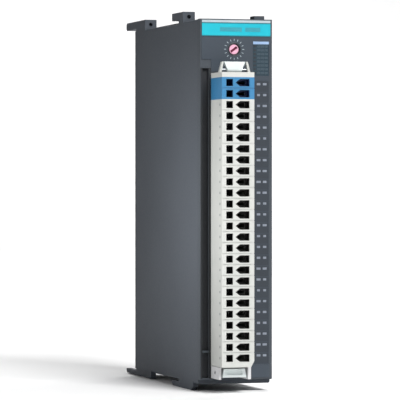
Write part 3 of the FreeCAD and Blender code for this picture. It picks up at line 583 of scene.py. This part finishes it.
def turned_ring(name: str, centre: Array, profile: Array, steps: int = 64) -> bpy.types.Object:
    """Carry a closed profile round the Y axis through a centre.

    Point (i, j) is centre + (r_i cos a_j, y_i, r_i sin a_j), with a_j evenly spaced over a turn.

    Args:
        name: Name of the piece.
        centre: Point on the axis in metres.
        profile: Radius and Y of each corner of the closed profile, in metres.
        steps: Divisions of the turn.

    Returns:
        The mesh object.
    """
    angle = np.linspace(0, math.tau, steps, endpoint=False)
    radius, depth = profile[:, :1], profile[:, 1:]
    points = np.stack([centre[0] + radius * np.cos(angle), centre[1] + depth + 0 * angle,
                       centre[2] + radius * np.sin(angle)], axis=-1).reshape(-1, 3)
    i, j = np.meshgrid(np.arange(len(profile)), np.arange(steps), indexing="ij")
    after_i, after_j = (i + 1) % len(profile), (j + 1) % steps
    faces = np.stack([i * steps + j, after_i * steps + j, after_i * steps + after_j,
                      i * steps + after_j], axis=-1).reshape(-1, 4)
    made = mesh_object(name, points, faces)
    outward(made)
    return made


def outward(piece: bpy.types.Object) -> None:
    """Turn every face of a closed mesh outwards.

    Args:
        piece: Object whose mesh is one or more closed shells.
    """
    work = bmesh.new()
    work.from_mesh(piece.data)
    bmesh.ops.recalc_face_normals(work, faces=work.faces)
    work.to_mesh(piece.data)
    work.free()


def rounded_copy(node: str, width_mm: float, segments: int = 2) -> bpy.types.Object:
    """Copy a CAD node, join its triangles into flat faces and round its edges.

    Args:
        node: Name of the CAD node that the copy stands for.
        width_mm: Width of the rounding.
        segments: Steps across the rounding.

    Returns:
        The copy, which replaces the node.
    """
    copy = bpy.data.objects.new(f"{node}_rounded", frame["nodes"][node].data.copy())
    bpy.context.scene.collection.objects.link(copy)
    work = bmesh.new()
    work.from_mesh(copy.data)
    bmesh.ops.remove_doubles(work, verts=work.verts, dist=WELD_MM * MM)
    bmesh.ops.dissolve_limit(work, angle_limit=math.radians(FLAT_TURN), verts=work.verts,
                             edges=work.edges)
    work.to_mesh(copy.data)
    work.free()
    bevel = copy.modifiers.new("rounding", "BEVEL")
    bevel.width = width_mm * MM
    bevel.segments = segments
    bevel.limit_method = "ANGLE"
    bevel.angle_limit = math.radians(SHARP_TURN)
    bevel.use_clamp_overlap = True
    bevel.harden_normals = False
    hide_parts(node)
    return copy


# ------------------------------------------------------------------ sub-assemblies

class Wardrobe:
    """Builds each finish once and dresses pieces with it."""

    def __init__(self) -> None:
        """Start with the list of finishes and no materials."""
        self.finishes = finishes()
        self.made: dict[str, bpy.types.Material] = {}

    def material(self, key: str) -> bpy.types.Material:
        """Give the material of a finish, building it the first time.

        Args:
            key: Finish's name in the list.

        Returns:
            The material.
        """
        if key not in self.made:
            self.made[key] = self.finishes[key].build()
        return self.made[key]

    def dress(self, piece: bpy.types.Object, key: str) -> None:
        """Put one finish over a whole piece."""
        piece.data.materials.clear()
        piece.data.materials.append(self.material(key))

    def finish_piece(self, piece: bpy.types.Object, body: str, slot: str,
                     key: str | None = None) -> None:
        """Dress a new piece and fix it to its body.

        Args:
            piece: The new piece.
            body: Body that it rides on.
            slot: The record's slot that it takes its finish from.
            key: Finish, where it isn't the slot's own.
        """
        self.dress(piece, key or slot)
        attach(piece, body)
        LOG.info("%s rides on %s with %s", piece.name, body, key or slot)


@dataclass
class CadNodes:
    """The carried-over nodes, and the rounded copies that stand for the moulded ones."""

    wardrobe: Wardrobe
    fine_mm: float = 0.12
    slim_mm: float = 0.2
    cover_mm: float = 0.3
    broad_mm: float = 0.35

    def rounded(self) -> dict[str, float]:
        """List the nodes that get rounded edges.

        Returns:
            The width of the rounding in millimetres, by node.
        """
        groups = {self.fine_mm: ("plug_body", "power_section"),
                  self.slim_mm: ("plug_end_cap", "terminal_header", "upper_lever",
                                 "front_bezel"),
                  self.cover_mm: ("rear_cover",),
                  self.broad_mm: ("lower_lever", "left_shell", "right_shell")}
        return {node: width for width, nodes in groups.items() for node in nodes}

    def build(self) -> None:
        """Dress every node, through its copy where it has one."""
        widths = self.rounded()
        for node, thing in frame["nodes"].items():
            slot = slot_of(node)
            if node in widths:
                copy = rounded_copy(node, widths[node])
                key = "bezel_plastic" if node == "front_bezel" else slot
                self.wardrobe.finish_piece(copy, body_of(node), slot, key)
            else:
                self.wardrobe.dress(thing, slot)
                LOG.info("%s keeps its mesh with %s", node, slot)


@dataclass
class FrontPanel:
    """Printed and fitted details of the front: bars, marks and window, and the side channel's
    painted shade.
    """

    wardrobe: Wardrobe
    ink_mm: float = 0.02
    mark_width_mm: float = 1.5
    mark_height_mm: float = 0.8
    mark_places: tuple[float, float] = (0.3, 0.72)
    bar_places: tuple[float, float] = (0.42, 0.74)
    bar_halves: tuple[float, float] = (0.16, 0.11)
    bar_half_height_mm: float = 0.75
    name_bar_inset_mm: float = 3.6
    name_bar_drop_mm: float = 2.3
    name_bar_half_mm: tuple[float, float] = (3.0, 0.5)
    window_rows: int = 8
    window_margin_mm: float = 1.0
    window_mark_inset_mm: float = 0.7
    window_mark_half_mm: tuple[float, float] = (0.45, 0.3)
    cell_columns: int = 3
    cell_inset_mm: float = 2.3
    cell_half_mm: tuple[float, float] = (0.62, 0.42)
    channel_top_mm: float = 48.6
    channel_foot_mm: float = 0.5
    channel_skin_mm: float = 0.03
    channel_edge_mm: float = 0.22
    groove_mm: tuple[float, float] = (0.9, 3.3)
    groove_depth_mm: float = 1.3
    header_gap_mm: float = 0.1

    def ink(self, name: str, centres: Array, halves: Array, key: str, slot: str) -> None:
        """Print plates of ink that ride on the case."""
        piece = plates(name, centres, halves)
        self.wardrobe.finish_piece(piece, "case", slot, key)

    def channel_marks(self) -> None:
        """Two plain pale dashes per row on the strip, a little uneven in length."""
        low, high = corners("channel_label")
        levels = np.tile(row_levels(), len(self.mark_places))
        rng = np.random.default_rng(7)
        count = len(levels)
        half_width = self.mark_width_mm / 2 * MM * rng.uniform(0.7, 1.1, count)
        x = low[0] + np.repeat(self.mark_places, TERMINAL_ROWS) * (high[0] - low[0])
        y = np.full(count, low[1] - self.ink_mm * MM)
        centres = np.stack([x, y, levels], axis=1)
        halves = np.stack([half_width, np.full(count, self.ink_mm * MM),
                           np.full(count, self.mark_height_mm / 2 * MM)], axis=1)
        self.ink("channel_marks", centres, halves, "pale_ink", "channel_print")

    def label_bars(self) -> None:
        """Two plain bars on the turquoise label and one by the selector, where names would be."""
        low, high = corners("name_label")
        width, middle = high[0] - low[0], (low[2] + high[2]) / 2
        thin = self.ink_mm * MM
        centres = np.array([[low[0] + place * width, low[1] - thin, middle]
                            for place in self.bar_places])
        halves = np.array([[half * width, thin, self.bar_half_height_mm * MM]
                           for half in self.bar_halves])
        self.ink("label_bars", centres, halves, "label_ink", "name_print")
        face = corners("front_overlay")[0][1]
        half_width, half_height = (size * MM for size in self.name_bar_half_mm)
        self.ink("name_bar", np.array([[high[0] - self.name_bar_inset_mm * MM, face - thin,
                                        low[2] - self.name_bar_drop_mm * MM]]),
                 np.array([[half_width, thin, half_height]]), "name_ink", "panel_foil")

    def window_marks(self) -> None:
        """Rows of small marks at the window's left edge and faint light cells across it."""
        low, high = corners("indicator_lens")
        margin = self.window_margin_mm * MM
        levels = np.linspace(low[2] + margin, high[2] - margin, self.window_rows)
        face = low[1] - self.ink_mm * MM
        x = np.full(self.window_rows, low[0] + self.window_mark_inset_mm * MM)
        half_width, half_height = self.window_mark_half_mm
        self.ink("window_marks", np.stack([x, np.full(self.window_rows, face), levels], axis=1),
                 np.array([half_width, self.ink_mm, half_height]) * MM, "channel_black",
                 "smoked_lens")
        columns = np.linspace(low[0] + self.cell_inset_mm * MM, high[0] - margin,
                              self.cell_columns)
        grid_x, grid_z = np.meshgrid(columns, levels)
        cells = np.stack([grid_x.ravel(), np.full(grid_x.size, face), grid_z.ravel()], axis=1)
        half_width, half_height = self.cell_half_mm
        self.ink("window_cells", cells, np.array([half_width, self.ink_mm, half_height]) * MM,
                 "smoked_cell", "smoked_lens")

    def side_channel(self) -> None:
        """Black sheet of painted shade from the case's left edge to the terminal header."""
        low, _ = corners("front_bezel")
        left = corners("terminal_header")[0][0] - self.header_gap_mm * MM
        foot, top = low[2] + self.channel_foot_mm * MM, self.channel_top_mm * MM
        skin = self.channel_skin_mm * MM
        edge = low[0] + self.channel_edge_mm * MM
        near, far = (low[0] + side * MM for side in self.groove_mm)
        spans = ((edge, near, -skin), (near, far, self.groove_depth_mm * MM), (far, left, -skin))
        centres = np.array([[(a + b) / 2, low[1] + depth, (foot + top) / 2]
                            for a, b, depth in spans])
        halves = np.array([[(b - a) / 2, skin, (top - foot) / 2] for a, b, _ in spans])
        # The thin black skin paints the shade that falls on the strip beside the terminal block.
        self.ink("side_channel", centres, halves, "channel_black", "case_plastic")

    def build(self) -> None:
        """Build the panel's details in order."""
        self.channel_marks()
        self.label_bars()
        self.window_marks()
        self.side_channel()


@dataclass
class Selector:
    """Ring, ticks and slot shading of the round code selector."""

    wardrobe: Wardrobe
    ticks: int = 16
    ring_inner_mm: float = 2.16
    ring_mm: float = 0.25
    ring_sunk_mm: float = 0.1
    ring_shoulder_mm: float = 0.05
    ring_crown_mm: float = 0.09
    tick_near_mm: float = 3.1
    tick_far_mm: float = 3.8
    tick_half_mm: float = 0.11
    tick_thick_mm: float = 0.02
    slot_turn: float = 38.0
    slot_depth_mm: float = 0.7
    slot_half_mm: tuple[float, float, float] = (1.42, 0.05, 0.42)

    def centre(self) -> Array:
        """Middle of the dial's face."""
        low, high = corners("selector_dial")
        return np.array([(low[0] + high[0]) / 2, low[1], (low[2] + high[2]) / 2])

    def build(self) -> None:
        """Build the raised ring, the tick marks and the slot's shading."""
        centre = self.centre()
        face = corners("front_overlay")[0][1]
        inner = self.ring_inner_mm * MM
        outer = inner + self.ring_mm * MM
        level = face - centre[1]
        sunk, shoulder = level + self.ring_sunk_mm * MM, level - self.ring_shoulder_mm * MM
        profile = np.array([[inner, sunk], [inner, shoulder],
                            [(inner + outer) / 2, level - self.ring_crown_mm * MM],
                            [outer, shoulder], [outer, sunk]])
        ring = turned_ring("selector_ring", centre, profile)
        self.wardrobe.finish_piece(ring, "case", "selector_black")
        self.tick_marks(centre, face)
        self.slot_shade(centre)

    def tick_marks(self, centre: Array, face: float) -> None:
        """Radial ticks: each is a flat bar from one radius to another at its own angle.

        Args:
            centre: Middle of the dial.
            face: Y of the foil's face.
        """
        angle = np.linspace(0, math.tau, self.ticks, endpoint=False)
        near, far, half = (size * MM for size in (self.tick_near_mm, self.tick_far_mm,
                                                  self.tick_half_mm))
        along = np.stack([np.cos(angle), np.zeros(self.ticks), np.sin(angle)], axis=1)
        across = np.stack([-np.sin(angle), np.zeros(self.ticks), np.cos(angle)], axis=1)
        middle = centre + along * (near + far) / 2
        thin = self.tick_thick_mm * MM
        middle[:, 1] = face - thin
        reach, depth, side = np.split(BOX_CORNERS[None], 3, axis=2)
        points = (middle[:, None] + reach * along[:, None] * (far - near) / 2
                  + depth * np.array([0, thin, 0]) + side * across[:, None] * half)
        faces = BOX_FACES[None] + 8 * np.arange(self.ticks)[:, None, None]
        ticks = mesh_object("selector_ticks", points.reshape(-1, 3), faces.reshape(-1, 4))
        outward(ticks)
        self.wardrobe.finish_piece(ticks, "case", "panel_foil", "white_ink")

    def slot_shade(self, centre: Array) -> None:
        """Dark floor of the screwdriver slot, turned with it.

        Args:
            centre: Middle of the dial's face.
        """
        turn = math.radians(self.slot_turn)
        ahead = np.array([math.cos(turn), 0, math.sin(turn)])
        aside = np.array([-math.sin(turn), 0, math.cos(turn)])
        middle = centre + np.array([0, self.slot_depth_mm * MM, 0])
        reach, thick, half = (size * MM for size in self.slot_half_mm)
        points = (middle + BOX_CORNERS[:, :1] * ahead * reach
                  + BOX_CORNERS[:, 1:2] * np.array([0, thick, 0])
                  + BOX_CORNERS[:, 2:] * aside * half)
        floor = mesh_object("dial_slot_floor", points, BOX_FACES)
        outward(floor)
        self.wardrobe.finish_piece(floor, "dial", "dial_pink", "slot_maroon")


@dataclass
class TerminalPlug:
    """Wells lined with painted shade, and printed marks, of the pluggable terminal block."""

    wardrobe: Wardrobe
    blue_rows: int = 2
    lining_mm: float = 0.12
    mouth_mm: float = 0.45
    key_depth_mm: float = 4.9
    funnel_depth_mm: float = 2.9
    floor_mm: tuple[float, float, float] = (2.7, 2.95, 1.05)
    mark_inset_mm: float = 2.4
    mark_sunk_mm: float = 0.005
    mark_half_mm: tuple[float, float, float] = (0.02, 0.55, 0.42)
    key: tuple[float, float, float] = (-8.0, -5.5, 2.55)
    funnel: tuple[float, float, float, float] = (-4.52, -2.83, 0.71, 2.65)

    def rings(self, levels: Array) -> tuple[Array, Array]:
        """Outlines of the square holes and of the pointed funnels at some heights.

        Args:
            levels: Heights of the rows.

        Returns:
            Rings for the squares and for the funnels.
        """
        left, right, tall = (value * MM for value in self.key)
        square = np.array([[left, -tall / 2], [right, -tall / 2], [right, tall / 2],
                           [left, tall / 2]])
        tip, shoulder, end, high = (value * MM for value in self.funnel)
        pointed = np.array([[tip, 0], [shoulder, -high / 2], [end, -high / 2], [end, high / 2],
                            [shoulder, high / 2]])
        lift = np.stack([np.zeros_like(levels), levels], axis=1)[:, None, :]
        return square[None] + lift, pointed[None] + lift

    def wells(self) -> None:
        """Line the holes with painted shade: black in the white ways, navy in the blue ones."""
        front = corners("plug_body")[0][1]
        mouth, lining = front + self.mouth_mm * MM, self.lining_mm * MM
        floor_front, floor_rear, floor_width = (size * MM for size in self.floor_mm)
        split = TERMINAL_ROWS - self.blue_rows
        for part, levels, key in (("white", row_levels()[:split], "well_black"),
                                  ("blue", row_levels()[split:], "well_navy")):
            squares, funnels = self.rings(levels)
            for piece in (
                    tubes(f"{part}_key_wells", squares, mouth, front + self.key_depth_mm * MM,
                          lining),
                    tubes(f"{part}_wire_wells", funnels, mouth,
                          front + self.funnel_depth_mm * MM, lining),
                    tubes(f"{part}_well_floors", funnels, front + floor_front,
                          front + floor_rear, floor_width)):
                # Each lining takes a dark finish that paints the shade of the hole.
                self.wardrobe.finish_piece(piece, "plug", f"terminal_{part}", key)

    def side_marks(self) -> None:
        """Small plain dash beside each white row on the plug's left side."""
        low, _ = corners("plug_body")
        levels = row_levels()[: TERMINAL_ROWS - self.blue_rows]
        ones = np.ones_like(levels)
        centres = np.stack([(low[0] - self.mark_sunk_mm * MM) * ones,
                            (low[1] + self.mark_inset_mm * MM) * ones, levels], axis=1)
        marks = plates("plug_side_marks", centres, np.array(self.mark_half_mm) * MM)
        self.wardrobe.finish_piece(marks, "plug", "terminal_white", "grey_ink")

    def build(self) -> None:
        """Build the wells and the marks."""
        self.wells()
        self.side_marks()


# ------------------------------------------------------------------ stage

@dataclass(frozen=True)
class Lamp:
    """One square studio light. A spread under 180 degrees narrows its beam, as a grid does."""

    stand_m: tuple[float, float, float]
    aim_m: tuple[float, float, float]
    side_m: float
    power_w: float
    spread: float


class LightPlace(Enum):
    """The studio's lights, named for what each one does."""

    KEY = Lamp((-0.125, -0.115, 0.0), (-0.014, -0.088, -0.002), 0.06, 0.03, 80.0)
    FRONT = Lamp((0.25, -1.15, 1.0), (0.0, -0.09, 0.0), 0.6, 24.5, 180.0)
    RIGHT = Lamp((1.2, -0.35, 0.35), (0.0, -0.05, 0.0), 0.8, 6.0, 180.0)
    FLOOR = Lamp((0.36, 0.76, 1.0), (0.33, 0.8, -0.07), 1.0, 11.0, 160.0)
    WALL = Lamp((0.95, 1.5, 1.3), (0.7, 2.6, 0.15), 1.0, 10.0, 110.0)


@dataclass
class Studio:
    """Pale sweep, soft lights and the camera."""

    distance: float = 1.0036
    lens_mm: float = 248.9
    azimuth: float = -16.3
    eye_level: float = 0.00825
    pitch: float = 0.435
    clip_m: tuple[float, float] = (0.05, 20.0)
    room_strength: float = 0.05
    floor_front_m: float = -4.0
    floor_reach_m: float = 2.2
    floor_half_m: float = 6.0
    bend_m: float = 0.8
    bend_steps: int = 17
    wall_m: float = 3.0

    def camera(self) -> None:
        """Aim level at the front-left edge, tipped down a little, from its left."""
        low, _ = corners("front_bezel")
        turn = math.radians(self.azimuth)
        towards = Vector((math.sin(turn), -math.cos(turn), 0.0))
        data = bpy.data.cameras.new("camera")
        data.lens = self.lens_mm
        data.clip_start, data.clip_end = self.clip_m
        eye = bpy.data.objects.new("camera", data)
        eye.location = Vector((low[0], low[1], self.eye_level)) + towards * self.distance
        eye.rotation_euler = (math.radians(90.0 - self.pitch), 0.0, turn)
        bpy.context.scene.collection.objects.link(eye)
        bpy.context.scene.camera = eye

    def lights(self) -> None:
        """Hang the soft lights, each facing its own aim."""
        for place in LightPlace:
            lamp, name = place.value, place.name.lower()
            data = bpy.data.lights.new(name, "AREA")
            data.shape, data.size, data.energy = "SQUARE", lamp.side_m, lamp.power_w
            data.spread = math.radians(lamp.spread)
            hung = bpy.data.objects.new(name, data)
            hung.location = lamp.stand_m
            beam = Vector(lamp.aim_m) - Vector(lamp.stand_m)
            hung.rotation_euler = beam.to_track_quat("-Z", "Y").to_euler()
            bpy.context.scene.collection.objects.link(hung)

    def sweep(self) -> None:
        """Pale floor that curves up into a backdrop: a profile of floor, quarter turn and wall."""
        floor = float(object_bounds()[0][2])
        bend, reach = self.bend_m, self.floor_reach_m
        angle = np.linspace(0, math.pi / 2, self.bend_steps)
        y = np.concatenate([[self.floor_front_m], reach + bend * np.sin(angle), [reach + bend]])
        z = np.concatenate([[0.0], bend * (1 - np.cos(angle)), [self.wall_m]])
        x = np.array([-self.floor_half_m, self.floor_half_m])
        points = np.stack([np.repeat(x[None], len(y), 0), np.repeat(y[:, None], 2, 1),
                           floor + np.repeat(z[:, None], 2, 1)], axis=-1).reshape(-1, 3)
        start = 2 * np.arange(len(y) - 1)
        faces = np.stack([start, start + 1, start + 3, start + 2], axis=1)
        backdrop = mesh_object("pale_sweep", points, faces)
        for polygon in backdrop.data.polygons:
            polygon.use_smooth = True
        # Paper background: matt white, hardly uneven.
        paper = Finish("white_paper_sweep", "#fbfbfb", "#f8f8f8", 0.8, 0.05, 4.0, 0.01, 400.0)
        backdrop.data.materials.append(paper.build())
        backdrop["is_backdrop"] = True

    def world(self) -> None:
        """Even pale surroundings."""
        world = bpy.data.worlds.new("pale_room")
        world.use_nodes = True
        background = world.node_tree.nodes["Background"]
        background.inputs["Color"].default_value = linear("#f4f6f8")
        background.inputs["Strength"].default_value = self.room_strength
        bpy.context.scene.world = world

    def build(self) -> None:
        """Set the stage, and keep colours as they are lit."""
        bpy.context.scene.view_settings.view_transform = "Standard"
        self.world()
        self.sweep()
        self.lights()
        self.camera()


def main() -> None:
    logging.basicConfig(level=logging.INFO, format="%(message)s")
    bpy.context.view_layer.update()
    wardrobe = Wardrobe()
    Studio().build()
    CadNodes(wardrobe).build()
    FrontPanel(wardrobe).build()
    Selector(wardrobe).build()
    TerminalPlug(wardrobe).build()


if __name__ == "__main__":
    main()
